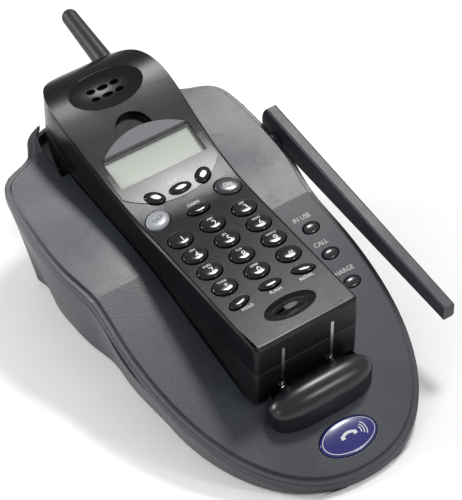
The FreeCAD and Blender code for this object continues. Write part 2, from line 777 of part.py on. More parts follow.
# ------------------------------------------------------------------ all nodes
def make_nodes():
    nodes = {
        "upper_housing": make_upper_housing(),
        "lower_housing": make_lower_housing(),
        "rubber_feet": make_feet(),
        "base_screws": make_base_screws(),
        "charge_block": make_charge_block(),
        "charge_contact_left": make_charge_contact(-1),
        "charge_contact_right": make_charge_contact(1),
        "front_badge": make_badge(),
        "indicator_board": make_indicator_board(),
        "indicator_leds": make_indicator_leds(),
        "base_circuit_board": make_base_board(),
        "radio_shield_can": make_rf_can(),
        "base_chips": make_base_chips(),
        "line_jack": make_line_jack(),
        "power_jack": make_dc_jack(),
        "antenna_hinge_pin": make_hinge_pin(),
        "base_antenna_blade": make_blade(),
        "base_antenna_wire": make_aerial_room(0),
        "front_shell": make_front_shell(),
        "rear_shell": make_rear_shell(),
        "battery_door": make_battery_door(),
        "handset_screws": make_handset_screws(),
        "handset_charge_strips": strip_room(0),
        "stub_antenna": make_stub_aerial(),
        "display_window": make_lens_cover(),
        "display_module": make_lcd(),
        "display_hood": make_hood(),
        "display_panel": make_panel(),
        "keypad_mat": make_keypad_mat(),
        "handset_circuit_board": make_handset_board(),
        "earpiece": make_earpiece(),
        "microphone": make_microphone(),
        "ringer": make_ringer(),
        "battery_pack": make_battery(),
    }
    for name, spot in zip(("line", "call", "charge"), lens_spots()):
        nodes[f"indicator_lens_{name}"] = make_lens(spot)
    for name, x, y, semi_x, semi_y, turn in key_list():
        nodes[name] = make_key(x, y, semi_x, semi_y, turn)
    return nodes


def main():
    os.makedirs("parts", exist_ok=True)
    for name, shape in make_nodes().items():
        box_now = shape.optimalBoundingBox()
        print(f"{name:24s} solids {len(shape.Solids)} volume {shape.Volume:10.1f} "
              f"x {box_now.XMin:7.1f} {box_now.XMax:7.1f} y {box_now.YMin:7.1f} {box_now.YMax:7.1f} "
              f"z {box_now.ZMin:6.1f} {box_now.ZMax:6.1f} valid {shape.isValid()}")
        shape.exportStep(f"parts/{name}.step")


main()
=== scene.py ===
import json
import math

import bmesh
import bpy
from mathutils import Matrix, Vector
from mathutils.bvhtree import BVHTree

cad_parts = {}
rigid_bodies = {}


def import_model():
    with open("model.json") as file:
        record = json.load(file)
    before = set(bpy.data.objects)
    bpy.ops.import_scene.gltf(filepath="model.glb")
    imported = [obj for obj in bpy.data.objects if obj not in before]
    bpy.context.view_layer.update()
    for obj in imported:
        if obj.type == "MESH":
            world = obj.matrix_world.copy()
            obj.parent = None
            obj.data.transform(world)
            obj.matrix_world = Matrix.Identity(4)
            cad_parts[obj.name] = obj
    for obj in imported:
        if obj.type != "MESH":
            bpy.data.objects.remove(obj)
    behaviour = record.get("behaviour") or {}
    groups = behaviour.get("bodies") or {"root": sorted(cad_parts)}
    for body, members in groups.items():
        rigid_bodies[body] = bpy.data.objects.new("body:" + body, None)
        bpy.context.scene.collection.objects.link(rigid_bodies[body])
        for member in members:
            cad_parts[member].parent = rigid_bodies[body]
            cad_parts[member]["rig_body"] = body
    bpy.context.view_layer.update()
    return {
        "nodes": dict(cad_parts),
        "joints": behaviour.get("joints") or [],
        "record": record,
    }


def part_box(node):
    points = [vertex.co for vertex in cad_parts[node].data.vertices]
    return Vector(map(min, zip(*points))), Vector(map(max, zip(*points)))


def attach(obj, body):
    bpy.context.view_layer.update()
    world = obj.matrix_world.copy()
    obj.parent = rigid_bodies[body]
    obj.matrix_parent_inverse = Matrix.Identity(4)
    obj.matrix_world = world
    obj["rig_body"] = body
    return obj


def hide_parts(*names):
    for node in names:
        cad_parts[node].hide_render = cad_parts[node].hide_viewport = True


for leftOver in ("Cube", "Light", "Camera"):
    if leftOver in bpy.data.objects:
        bpy.data.objects.remove(bpy.data.objects[leftOver])

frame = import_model()
print("frame loaded")


# the camera looks down on the keypad from the front left
cameraSetup = {
    "place": (-0.4665, -0.6192, 0.7853),
    "azimuth": -36.88,      # degrees, 0 looks along +Y
    "elevation": 43.0,
    "lens": 169.06,
}


def makeCamera():
    side = math.radians(cameraSetup["azimuth"])
    up = math.radians(cameraSetup["elevation"])
    back = Vector((math.sin(side) * math.cos(up), -math.cos(side) * math.cos(up), math.sin(up)))
    right = Vector((math.cos(side), math.sin(side), 0))
    top = back.cross(right)
    data = bpy.data.cameras.new("viewCamera")
    data.lens = cameraSetup["lens"]
    data.sensor_width = 36
    data.clip_start = 0.05
    camera = bpy.data.objects.new("viewCamera", data)
    turn = Matrix((right, top, back)).transposed().to_4x4()
    camera.matrix_world = Matrix.Translation(cameraSetup["place"]) @ turn
    bpy.context.scene.collection.objects.link(camera)
    bpy.context.scene.camera = camera


makeCamera()


# one soft box for each bright side of the object
studio = {
    "worldGrey": 1.0,
    "worldStrength": 0.56,
    "target": (0.0, 0.02, 0.05),
    # direction from the object, distance, size, power
    "lights": {
        "keyBox": ((0.45, 0.22, 0.87), 1.35, 0.24, 8.0),
        "sideBox": ((-0.68, 0.58, 0.45), 1.3, 0.30, 9.0),
        "frontBox": ((0.44, -0.68, 0.58), 1.4, 0.22, 3.0),
        "fillBox": ((-0.90, -0.35, 0.35), 1.4, 0.45, 2.0),
    },
}


def makeStudio():
    scene = bpy.context.scene
    scene.view_settings.view_transform = "Standard"
    world = bpy.data.worlds.new("studioWorld")
    world.use_nodes = True
    glow = world.node_tree.nodes["Background"]
    grey = studio["worldGrey"]
    glow.inputs["Color"].default_value = (grey, grey, grey, 1)
    glow.inputs["Strength"].default_value = studio["worldStrength"]
    scene.world = world
    target = Vector(studio["target"])
    for name, (direction, distance, size, power) in studio["lights"].items():
        data = bpy.data.lights.new(name, "AREA")
        data.shape = "SQUARE"
        data.size = size
        data.energy = power
        lamp = bpy.data.objects.new(name, data)
        away = Vector(direction).normalized()
        turn = away.to_track_quat("Z", "Y").to_matrix().to_4x4()
        lamp.matrix_world = Matrix.Translation(target + away * distance) @ turn
        scene.collection.objects.link(lamp)


makeStudio()


# short ways to write shader and geometry nodes
def addNode(tree, kind, values=None, **settings):
    node = tree.nodes.new(kind)
    for name, value in settings.items():
        setattr(node, name, value)
    for socket, value in (values or {}).items():
        if isinstance(value, bpy.types.NodeSocket):
            tree.links.new(value, node.inputs[socket])
        else:
            node.inputs[socket].default_value = value
    return node


def mathNode(tree, operation, first, second=0.0, clamp=False):
    node = addNode(tree, "ShaderNodeMath", {0: first, 1: second}, operation=operation, use_clamp=clamp)
    return node.outputs[0]


def mixColours(tree, factor, first, second):
    node = tree.nodes.new("ShaderNodeMix")
    node.data_type = "RGBA"
    for index, value in ((0, factor), (6, first), (7, second)):
        if isinstance(value, bpy.types.NodeSocket):
            tree.links.new(value, node.inputs[index])
        else:
            node.inputs[index].default_value = value
    return node.outputs[2]


def spread(tree, value, low, high, newLow=0.0, newHigh=1.0):
    values = {"Value": value, "From Min": low, "From Max": high, "To Min": newLow, "To Max": newHigh}
    return addNode(tree, "ShaderNodeMapRange", values).outputs["Result"]


def hexColour(code):
    parts = [int(code[i:i + 2], 16) / 255 for i in (0, 2, 4)]
    return (*[c / 12.92 if c <= 0.04045 else ((c + 0.055) / 1.055) ** 2.4 for c in parts], 1)


def newGroup(name, inputs, outputs):
    group = bpy.data.node_groups.new(name, "ShaderNodeTree")
    for label, kind, value in inputs:
        socket = group.interface.new_socket(label, in_out="INPUT", socket_type=kind)
        socket.default_value = value
    for label, kind in outputs:
        group.interface.new_socket(label, in_out="OUTPUT", socket_type=kind)
    return group, group.nodes.new("NodeGroupInput"), group.nodes.new("NodeGroupOutput")


# grain, cloudy fading and scuffs of moulded plastic, used by every finish
surfaceLook = {
    "cloudScale": 22.0, "cloudFade": 0.35, "scuffScale": 95.0, "scuffFade": 0.6, "scuffRoughness": 0.22,
    "speckFade": 0.30,
}


def makeMouldedSurface():
    group, given, result = newGroup(
        "mouldedSurface",
        [
            ("Colour", "NodeSocketColor", (0.1, 0.1, 0.1, 1)),
            ("Faded Colour", "NodeSocketColor", (0.2, 0.2, 0.2, 1)),
            ("Grain Scale", "NodeSocketFloat", 1800.0),
            ("Grain Depth", "NodeSocketFloat", 0.00003),
            ("Roughness", "NodeSocketFloat", 0.45),
            ("Roughness Spread", "NodeSocketFloat", 0.12),
            ("Wear", "NodeSocketFloat", 0.3),
        ],
        [("Colour", "NodeSocketColor"), ("Roughness", "NodeSocketFloat"), ("Normal", "NodeSocketVector")],
    )
    spot = addNode(group, "ShaderNodeTexCoord").outputs["Object"]
    grainValues = {"Vector": spot, "Scale": given.outputs["Grain Scale"], "Detail": 3.0}
    grain = addNode(group, "ShaderNodeTexNoise", grainValues).outputs["Fac"]
    cloudValues = {"Vector": spot, "Scale": surfaceLook["cloudScale"], "Detail": 3.0}
    cloud = addNode(group, "ShaderNodeTexNoise", cloudValues).outputs["Fac"]
    scuffValues = {"Vector": spot, "Scale": surfaceLook["scuffScale"], "Detail": 7.0, "Roughness": 0.68}
    scuff = addNode(group, "ShaderNodeTexNoise", scuffValues).outputs["Fac"]
    broad = spread(group, cloud, 0.35, 0.65)
    scuffs = mathNode(group, "MULTIPLY", spread(group, scuff, 0.56, 0.74), given.outputs["Wear"], True)
    cloudFade = mathNode(group, "MULTIPLY", broad, surfaceLook["cloudFade"])
    scuffFade = mathNode(group, "MULTIPLY", scuffs, surfaceLook["scuffFade"])
    faded = mathNode(group, "ADD", cloudFade, scuffFade, True)
    speck = spread(group, grain, 0.35, 0.7, 0.0, surfaceLook["speckFade"])
    blend = mathNode(group, "ADD", faded, speck, True)
    shade = mixColours(group, blend, given.outputs["Colour"], given.outputs["Faded Colour"])
    swing = mathNode(group, "SUBTRACT", broad, 0.5)
    rough = mathNode(group, "MULTIPLY", swing, given.outputs["Roughness Spread"])
    rough = mathNode(group, "ADD", rough, given.outputs["Roughness"])
    dull = mathNode(group, "MULTIPLY", scuffs, surfaceLook["scuffRoughness"])
    rough = mathNode(group, "ADD", rough, dull, True)
    bumpValues = {"Height": grain, "Distance": given.outputs["Grain Depth"], "Strength": 1.0}
    bump = addNode(group, "ShaderNodeBump", bumpValues)
    group.links.new(shade, result.inputs["Colour"])
    group.links.new(rough, result.inputs["Roughness"])
    group.links.new(bump.outputs["Normal"], result.inputs["Normal"])
    return group


mouldedSurface = makeMouldedSurface()


def makeMaterial(name, colour, faded, grainScale, grainDepth, roughness, roughnessSpread, wear, **plain):
    # plain holds the values that are the same all over: metallic, coat, coatRoughness, specular, alpha
    material = bpy.data.materials.new(name)
    material.use_nodes = True
    tree = material.node_tree
    shader = tree.nodes["Principled BSDF"]
    values = {
        "Colour": hexColour(colour), "Faded Colour": hexColour(faded),
        "Grain Scale": grainScale, "Grain Depth": grainDepth,
        "Roughness": roughness, "Roughness Spread": roughnessSpread, "Wear": wear,
    }
    surface = tree.nodes.new("ShaderNodeGroup")
    surface.node_tree = mouldedSurface
    for socket, value in values.items():
        surface.inputs[socket].default_value = value
    tree.links.new(surface.outputs["Colour"], shader.inputs["Base Color"])
    tree.links.new(surface.outputs["Roughness"], shader.inputs["Roughness"])
    tree.links.new(surface.outputs["Normal"], shader.inputs["Normal"])
    shader.inputs["Metallic"].default_value = plain.get("metallic", 0.0)
    shader.inputs["Coat Weight"].default_value = plain.get("coat", 0.0)
    shader.inputs["Coat Roughness"].default_value = plain.get("coatRoughness", 0.1)
    shader.inputs["Specular IOR Level"].default_value = plain.get("specular", 0.5)
    shader.inputs["Alpha"].default_value = plain.get("alpha", 1.0)
    return material


# colour, faded colour, grain scale, grain depth, roughness, roughness spread, wear
finishLook = {
    "basePlastic": ("1f2229", "3d424b", 1500, 0.00006, 0.40, 0.10, 0.25),
    "lowerPlastic": ("2c2e33", "43464c", 1500, 0.00006, 0.46, 0.10, 0.35),
    "handsetPlastic": ("0a0b0d", "15161a", 1700, 0.00003, 0.24, 0.06, 0.18),
    "rearPlastic": ("0b0c0e", "16171b", 1700, 0.00003, 0.30, 0.08, 0.20),
    "pillowPlastic": ("101115", "1c1e23", 1900, 0.00001, 0.30, 0.08, 0.15),
    "bladePlastic": ("1d1f25", "34373e", 1300, 0.00007, 0.42, 0.10, 0.25),
    # the display hood's light grey is painted light: the hood is the handset's dark plastic, drawn lighter
    # where its upward face catches the lamps
    "hoodPaintedLight": ("505155", "77787c", 1500, 0.00008, 0.46, 0.10, 0.20),
    "panelPlastic": ("0a0b0d", "121317", 1600, 0.00001, 0.24, 0.05, 0.12),
    "keyGloss": ("060708", "0d0e11", 1600, 0.000004, 0.12, 0.05, 0.12),
    "keyGrey": ("2a2c30", "3c3e43", 1600, 0.000006, 0.28, 0.08, 0.25),
    "keySilver": ("85888e", "9b9ea4", 1600, 0.000008, 0.34, 0.08, 0.20),
    "footRubber": ("1b1b1c", "2b2b2c", 1000, 0.00006, 0.75, 0.10, 0.40),
    "blackPlastic": ("111113", "1d1d20", 1500, 0.00003, 0.48, 0.10, 0.25),
    "steel": ("8b8d90", "a3a5a8", 2400, 0.00001, 0.32, 0.15, 0.30),
    "contactMetal": ("d3d3cf", "e4e4e0", 2400, 0.00001, 0.25, 0.12, 0.25),
    "badgeBlue": ("17155f", "232180", 1800, 0.000004, 0.25, 0.06, 0.15),
    "printWhite": ("e2e4e4", "c6c8c9", 2600, 0.000003, 0.50, 0.10, 0.40),
    "printDark": ("1b1c1f", "303236", 2600, 0.000003, 0.50, 0.10, 0.40),
    "lensSmoke": ("18191d", "282a30", 1800, 0.000004, 0.20, 0.05, 0.15),
    "boardGreen": ("1f4a2c", "2d6040", 900, 0.00002, 0.50, 0.10, 0.30),
    "batteryWrap": ("2f5d8c", "3e6f9f", 900, 0.00001, 0.40, 0.10, 0.30),
    "displayFace": ("a4aa9d", "b3b9ad", 700, 0.000004, 0.40, 0.06, 0.10),
    "windowClear": ("e8ecea", "f2f4f3", 1500, 0.000002, 0.08, 0.03, 0.10),
    "floorPaint": ("fafafa", "ffffff", 60, 0.00002, 0.80, 0.10, 0.10),
}
plainLook = {
    "basePlastic": {"specular": 0.55},
    "handsetPlastic": {"specular": 0.20},
    "rearPlastic": {"specular": 0.40},
    "panelPlastic": {"specular": 0.30},
    "keyGrey": {"coat": 0.2},
    "keySilver": {"coat": 0.2},
    "steel": {"metallic": 1.0},
    "contactMetal": {"metallic": 1.0},
    "badgeBlue": {"coat": 0.4},
    "lensSmoke": {"coat": 0.3},
    "windowClear": {"alpha": 0.08},
}
finishes = {name: makeMaterial(name, *look, **plainLook.get(name, {})) for name, look in finishLook.items()}

slotFinish = {
    "charcoal_plastic": "basePlastic", "grey_plastic": "lowerPlastic", "black_plastic": "blackPlastic",
    "satin_block": "pillowPlastic", "foot_rubber": "footRubber", "steel": "steel",
    "contact_metal": "contactMetal", "blue_badge": "badgeBlue", "board_green": "boardGreen",
    "lens_smoke": "lensSmoke", "display_clear": "windowClear", "display_glass": "displayFace",
    "hood_grey": "hoodPaintedLight", "panel_dark": "panelPlastic", "battery_wrap": "batteryWrap",
    "key_gloss": "keyGloss", "key_silver": "keySilver",
}


def coverCadNodes():
    for part in frame["record"]["subparts"]:
        finish = finishes[slotFinish[part["material_slot"]]]
        node = frame["nodes"][part["node"]]
        if not node.material_slots:
            node.data.materials.append(finish)
        for slot in node.material_slots:
            slot.material = finish


print("materials made")


# pieces are meshes at the origin that ride on a CAD body
meshLook = {
    "merge": 0.000003,      # points nearer than this are one
    "flat": 0.05,           # degrees between triangles that become one face
    "sharp": 32.0,          # degrees from which an edge is rounded
    "shade": 22.0,          # degrees from which shading breaks
    "reach": 0.00002,       # a corner nearer than this lies on the CAD surface
}


def addPiece(name, mesh, material, body):
    piece = bpy.data.objects.new(name, mesh)
    bpy.context.scene.collection.objects.link(piece)
    mesh.materials.clear()
    mesh.materials.append(finishes[material])
    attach(piece, body)
    return piece


def bakeModifiers(piece):
    graph = bpy.context.evaluated_depsgraph_get()
    graph.update()
    return bpy.data.meshes.new_from_object(piece.evaluated_get(graph))


def mergedMesh(nodeName):
    mesh = bmesh.new()
    mesh.from_mesh(frame["nodes"][nodeName].data)
    bmesh.ops.remove_doubles(mesh, verts=mesh.verts, dist=meshLook["merge"])
    return mesh


def cornerWeights(spot, first, second, third):
    # how much each corner of a triangle counts at a spot on it
    sideOne, sideTwo, across = second - first, third - first, spot - first
    oneOne, oneTwo, twoTwo = sideOne.dot(sideOne), sideOne.dot(sideTwo), sideTwo.dot(sideTwo)
    acrossOne, acrossTwo = across.dot(sideOne), across.dot(sideTwo)
    whole = oneOne * twoTwo - oneTwo * oneTwo
    if abs(whole) < 1e-24:
        return 1.0, 0.0, 0.0
    secondShare = (twoTwo * acrossOne - oneTwo * acrossTwo) / whole
    thirdShare = (oneOne * acrossTwo - oneTwo * acrossOne) / whole
    return 1.0 - secondShare - thirdShare, secondShare, thirdShare


def keepDrawnNormals(data, drawn):
    # faces on the CAD surface take its own normals; rounded edges lead from one to the other
    drawn.calc_loop_triangles()
    corners = [corner.vector for corner in drawn.corner_normals]
    triangles = [tuple(item.vertices) for item in drawn.loop_triangles]
    loops = [tuple(item.loops) for item in drawn.loop_triangles]
    spots = [vertex.co for vertex in drawn.vertices]
    tree = BVHTree.FromPolygons(spots, triangles)
    own = [Vector(corner.vector) for corner in data.corner_normals]
    settled, onSurface = set(), {}
    for face in data.polygons:
        facing = Vector(face.normal)
        found = {}
        for loopIndex in face.loop_indices:
            spot = data.vertices[data.loops[loopIndex].vertex_index].co
            near = tree.find_nearest_range(spot, meshLook["reach"])
            near = [item for item in near if item[1].dot(facing) > 0.98]
            if near:
                hit, normal, index, distance = max(near, key=lambda item: item[1].dot(facing))
                weights = cornerWeights(hit, *[spots[v] for v in triangles[index]])
                mixed = sum((corners[l] * max(w, 0.0) for l, w in zip(loops[index], weights)), Vector())
                if mixed.length > 0.1 and mixed.normalized().dot(facing) > 0.9:
                    found[loopIndex] = mixed.normalized()
        if len(found) * 2 < len(face.loop_indices):
            continue
        for loopIndex in face.loop_indices:
            own[loopIndex] = found.get(loopIndex, facing)
            settled.add(loopIndex)
            onSurface.setdefault(data.loops[loopIndex].vertex_index, []).append(own[loopIndex])
    for face in data.polygons:
        for loopIndex in face.loop_indices:
            around = onSurface.get(data.loops[loopIndex].vertex_index, [])
            near = [normal for normal in around if normal.dot(face.normal) > 0.8]
            if near and loopIndex not in settled:
                own[loopIndex] = max(near, key=lambda normal: normal.dot(face.normal))
    data.normals_split_custom_set(own)


def softenedCopy(nodeName, pieceName, material, width, segments, rimTest=None, rimWidth=0.0, sharp=None):
    # a merged copy of a CAD node with rounded edges; rimTest gives each edge its share of the rimWidth
    mesh = mergedMesh(nodeName)
    flat = math.radians(meshLook["flat"])
    bmesh.ops.dissolve_limit(mesh, angle_limit=flat, verts=mesh.verts[:], edges=mesh.edges[:])
    weights = mesh.edges.layers.float.new("bevel_weight_edge")
    largest = max(width, rimWidth)
    limit = math.radians(sharp or meshLook["sharp"])
    for edge in mesh.edges:
        if len(edge.link_faces) == 2 and edge.calc_face_angle() > limit:
            middle = (edge.verts[0].co + edge.verts[1].co) / 2
            share = rimTest(middle, edge) if rimTest else 0.0
            edge[weights] = (width + (largest - width) * share) / largest
    data = bpy.data.meshes.new(pieceName)
    mesh.to_mesh(data)
    mesh.free()
    draft = bpy.data.objects.new(pieceName + "Draft", data)
    bpy.context.scene.collection.objects.link(draft)
    bevel = draft.modifiers.new("edges", "BEVEL")
    bevel.limit_method = "WEIGHT"
    bevel.width = largest
    bevel.segments = segments
    bevel.use_clamp_overlap = False
    bevel.miter_outer = "MITER_SHARP"
    rounded = bakeModifiers(draft)
    bpy.data.objects.remove(draft)
    finishShading(rounded, meshLook["shade"])
    keepDrawnNormals(rounded, frame["nodes"][nodeName].data)
    piece = addPiece(pieceName, rounded, material, frame["nodes"][nodeName]["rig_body"])
    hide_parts(nodeName)
    return piece


def finishShading(data, angle):
    mesh = bmesh.new()
    mesh.from_mesh(data)
    for face in mesh.faces:
        face.smooth = True
    for edge in mesh.edges:
        edge.smooth = len(edge.link_faces) != 2 or edge.calc_face_angle() < math.radians(angle)
    mesh.to_mesh(data)
    mesh.free()


# base housings
baseLook = {"edge": 0.0006, "segments": 3}


def makeHousings():
    edge, segments = baseLook["edge"], baseLook["segments"]
    upper = softenedCopy("upper_housing", "upperHousing", "basePlastic", edge, segments)
    lower = softenedCopy("lower_housing", "lowerHousing", "lowerPlastic", edge, segments)


makeHousings()
print("base housings made")


# handset shells; halfWidth and frontY bound the keypad, headY is where the rounded rim ends
handsetLook = {
    "edge": 0.0003, "rimEdge": 0.0020, "backEdge": 0.0005,
    "halfWidth": 0.0275, "frontY": -0.0532, "headY": 0.092, "fade": 0.030,
}


def onHandsetRim(middle, edge):
    # only edges between the face and a side wall, outside the keypad
    if abs(middle.x) < handsetLook["halfWidth"] and middle.y > handsetLook["frontY"]:
        return 0.0
    normals = [face.normal.z for face in edge.link_faces]
    if max(normals) < 0.5 or abs(min(normals)) > 0.4:
        return 0.0
    return min(max((handsetLook["headY"] - middle.y) / handsetLook["fade"], 0.0), 1.0)


def makeShells():
    look = handsetLook
    rim = (onHandsetRim, look["rimEdge"])
    front = softenedCopy("front_shell", "frontShell", "handsetPlastic", look["edge"], 3, *rim)
    rear = softenedCopy("rear_shell", "rearShell", "rearPlastic", look["backEdge"], 2)
    door = softenedCopy("battery_door", "batteryDoor", "rearPlastic", look["edge"], 2)


makeShells()
print("handset shells made")


# charge block and antenna blade
blockLook = {"edge": 0.0005, "bladeEdge": 0.0003}


def makeBlock():
    block = softenedCopy("charge_block", "chargePillow", "pillowPlastic", blockLook["edge"], 2, sharp=50)
    blade = softenedCopy("base_antenna_blade", "antennaBlade", "bladePlastic", blockLook["bladeEdge"], 2)


makeBlock()
print("charge block and antenna blade made")


# domed caps of any oval size, made by one Geometry Nodes tree
def addSocket(tree, label, kind, value=None):
    socket = tree.interface.new_socket(label, in_out="INPUT", socket_type=kind)
    if value is not None:
        socket.default_value = value


def finishTree(tree, made, finish):
    made = addNode(tree, "GeometryNodeRealizeInstances", {"Geometry": made}).outputs[0]
    made = addNode(tree, "GeometryNodeSetMaterial", {"Geometry": made, "Material": finish}).outputs[0]
    tree.links.new(made, tree.nodes.new("NodeGroupOutput").inputs["Geometry"])


def makeDomeTree():
    tree = bpy.data.node_groups.new("domeCap", "GeometryNodeTree")
    addSocket(tree, "Geometry", "NodeSocketGeometry")
    sizes = {"Half Width": 0.006, "Half Depth": 0.0045, "Height": 0.0015, "Skirt": 0.002, "Roundness": 3.0}
    for label, value in sizes.items():
        addSocket(tree, label, "NodeSocketFloat", value)
    addSocket(tree, "Around", "NodeSocketInt", 48)
    addSocket(tree, "Rows", "NodeSocketInt", 14)
    addSocket(tree, "Finish", "NodeSocketMaterial")
    tree.interface.new_socket("Geometry", in_out="OUTPUT", socket_type="NodeSocketGeometry")
    given = tree.nodes.new("NodeGroupInput").outputs
    grid = tree.nodes.new("GeometryNodeMeshGrid")
    grid.inputs["Size X"].default_value = 1.0
    grid.inputs["Size Y"].default_value = 1.0
    tree.links.new(mathNode(tree, "ADD", given["Around"], 1.0), grid.inputs["Vertices X"])
    tree.links.new(mathNode(tree, "ADD", given["Rows"], 1.0), grid.inputs["Vertices Y"])
    # the grid's X goes round the cap; its Y goes from the foot of the skirt up to the crown
    place = addNode(tree, "ShaderNodeSeparateXYZ", {0: addNode(tree, "GeometryNodeInputPosition").outputs[0]})
    around = mathNode(tree, "MULTIPLY", mathNode(tree, "ADD", place.outputs["X"], 0.5), math.tau)
    along = mathNode(tree, "ADD", place.outputs["Y"], 0.5)
    row = mathNode(tree, "DIVIDE", 1.0, given["Rows"])
    start = mathNode(tree, "MULTIPLY", row, 2.0)
    risen = mathNode(tree, "SUBTRACT", along, start)
    share = mathNode(tree, "DIVIDE", risen, mathNode(tree, "SUBTRACT", 1.0, start), True)
    angle = mathNode(tree, "MULTIPLY", share, math.pi / 2)
    power = mathNode(tree, "DIVIDE", 2.0, given["Roundness"])
    cosine = mathNode(tree, "MAXIMUM", mathNode(tree, "COSINE", angle), 0.0)
    upward = mathNode(tree, "POWER", mathNode(tree, "SINE", angle), power)
    notCentre = mathNode(tree, "GREATER_THAN", along, mathNode(tree, "MULTIPLY", row, 0.5))
    below = mathNode(tree, "LESS_THAN", along, mathNode(tree, "MULTIPLY", row, 1.5))
    outward = mathNode(tree, "MULTIPLY", mathNode(tree, "POWER", cosine, power), notCentre)
    high = mathNode(tree, "MULTIPLY", upward, given["Height"])
    high = mathNode(tree, "SUBTRACT", high, mathNode(tree, "MULTIPLY", below, given["Skirt"]))
    wide = mathNode(tree, "MULTIPLY", mathNode(tree, "COSINE", around), outward)
    wide = mathNode(tree, "MULTIPLY", wide, given["Half Width"])
    deep = mathNode(tree, "MULTIPLY", mathNode(tree, "SINE", around), outward)
    deep = mathNode(tree, "MULTIPLY", deep, given["Half Depth"])
    moved = addNode(tree, "ShaderNodeCombineXYZ", {"X": wide, "Y": deep, "Z": high}).outputs[0]
    shaped = {"Geometry": grid.outputs["Mesh"], "Position": moved}
    dome = addNode(tree, "GeometryNodeSetPosition", shaped).outputs[0]
    dome = addNode(tree, "GeometryNodeMergeByDistance", {"Geometry": dome, "Distance": 0.000004}).outputs[0]
    finishTree(tree, dome, given["Finish"])
    return tree


def makeSetOutTree():
    # one piece repeated on every point of the host mesh, with a small random turn
    tree = bpy.data.node_groups.new("setOut", "GeometryNodeTree")
    addSocket(tree, "Geometry", "NodeSocketGeometry")
    addSocket(tree, "Piece", "NodeSocketObject")
    addSocket(tree, "Size", "NodeSocketFloat", 1.0)
    addSocket(tree, "Turn", "NodeSocketFloat", 0.5)
    addSocket(tree, "Seed", "NodeSocketInt", 4)
    addSocket(tree, "Finish", "NodeSocketMaterial")
    tree.interface.new_socket("Geometry", in_out="OUTPUT", socket_type="NodeSocketGeometry")
    given = tree.nodes.new("NodeGroupInput").outputs
    piece = addNode(tree, "GeometryNodeObjectInfo", {"Object": given["Piece"]}).outputs["Geometry"]
    chance = tree.nodes.new("FunctionNodeRandomValue")
    tree.links.new(given["Seed"], chance.inputs["Seed"])
    spin = mathNode(tree, "MULTIPLY", chance.outputs[1], given["Turn"])
    turned = addNode(tree, "ShaderNodeCombineXYZ", {"Z": spin}).outputs[0]
    values = {"Points": given["Geometry"], "Instance": piece, "Rotation": turned, "Scale": given["Size"]}
    laid = addNode(tree, "GeometryNodeInstanceOnPoints", values).outputs[0]
    finishTree(tree, laid, given["Finish"])
    return tree


domeTree = makeDomeTree()
setOutTree = makeSetOutTree()


def growMesh(tree, values, host=None):
    draft = bpy.data.objects.new("growing", host or bpy.data.meshes.new("growing"))
    bpy.context.scene.collection.objects.link(draft)
    maker = draft.modifiers.new("maker", "NODES")
    maker.node_group = tree
    for item in tree.interface.items_tree:
        if item.item_type == "SOCKET" and item.in_out == "INPUT" and item.name in values:
            maker[item.identifier] = values[item.name]
    grown = bakeModifiers(draft)
    bpy.data.objects.remove(draft)
    return grown


def makeDome(halfWidth, halfDepth, height, skirt, roundness, finish, place=Matrix(), around=48, rows=14):
    values = {"Half Width": halfWidth, "Half Depth": halfDepth, "Height": height, "Skirt": skirt}
    values.update({"Roundness": roundness, "Around": around, "Rows": rows, "Finish": finishes[finish]})
    data = growMesh(domeTree, values)
    data.transform(place)
    mesh = bmesh.new()
    mesh.from_mesh(data)
    bmesh.ops.recalc_face_normals(mesh, faces=mesh.faces)
    mesh.to_mesh(data)
    mesh.free()
    finishShading(data, 50)
    return data


# places on the CAD surfaces
def nodeFrame(nodeName, normal, turn=0.0, depth=0.0):
    # origin in the middle of the node, depth above its lowest point along the normal
    up = Vector(normal).normalized()
    right = Vector((1, 0, 0))
    ahead = up.cross(right)
    spots = [v.co for v in frame["nodes"][nodeName].data.vertices]
    reaches = [[spot.dot(axis) for spot in spots] for axis in (right, ahead, up)]
    across, along = [0.5 * (min(reach) + max(reach)) for reach in reaches[:2]]
    origin = right * across + ahead * along + up * (min(reaches[2]) + depth)
    axes = Matrix((right, ahead, up)).transposed().to_4x4()
    return Matrix.Translation(origin) @ axes @ Matrix.Rotation(math.radians(turn), 4, "Z")


def surfaceTree(piece):
    mesh = bmesh.new()
    mesh.from_mesh(piece.data)
    tree = BVHTree.FromBMesh(mesh)
    mesh.free()
    return tree


# printed legends and marks: how thick they are, and how far they look down for the surface
printLook = {"thickness": 0.00003, "lift": 0.00002, "reach": 0.012}


def textMesh(words, height):
    curve = bpy.data.curves.new("legend", "FONT")
    curve.body = words
    curve.size = height / 0.72
    curve.align_x = "CENTER"
    curve.align_y = "CENTER"
    curve.extrude = printLook["thickness"]
    curve.resolution_u = 3
    draft = bpy.data.objects.new("legend", curve)
    bpy.context.scene.collection.objects.link(draft)
    data = bakeModifiers(draft)
    bpy.data.objects.remove(draft)
    return data


def outlineMesh(points):
    # a small flat mark with a little thickness, drawn anticlockwise
    thick = printLook["thickness"]
    count = len(points)
    spots = [(x, y, thick) for x, y in points] + [(x, y, -thick) for x, y in points]
    faces = [tuple(range(count)), tuple(reversed(range(count, 2 * count)))]
    faces += [(i, i + count, (i + 1) % count + count, (i + 1) % count) for i in range(count)]
    data = bpy.data.meshes.new("mark")
    data.from_pydata(spots, [], faces)
    return data


def bandMesh(inner, outer):
    # a closed band between two outlines with the same number of points
    thick = printLook["thickness"]
    count = len(inner)
    spots = [(x, y, z) for z in (thick, -thick) for ring in (inner, outer) for x, y in ring]
    faces = []
    for i in range(count):
        j = (i + 1) % count
        faces += [(i, count + i, count + j, j), (2 * count + j, 3 * count + j, 3 * count + i, 2 * count + i)]
        faces += [(count + i, 3 * count + i, 3 * count + j, count + j), (2 * count + i, i, j, 2 * count + j)]
    data = bpy.data.meshes.new("band")
    data.from_pydata(spots, [], faces)
    return data


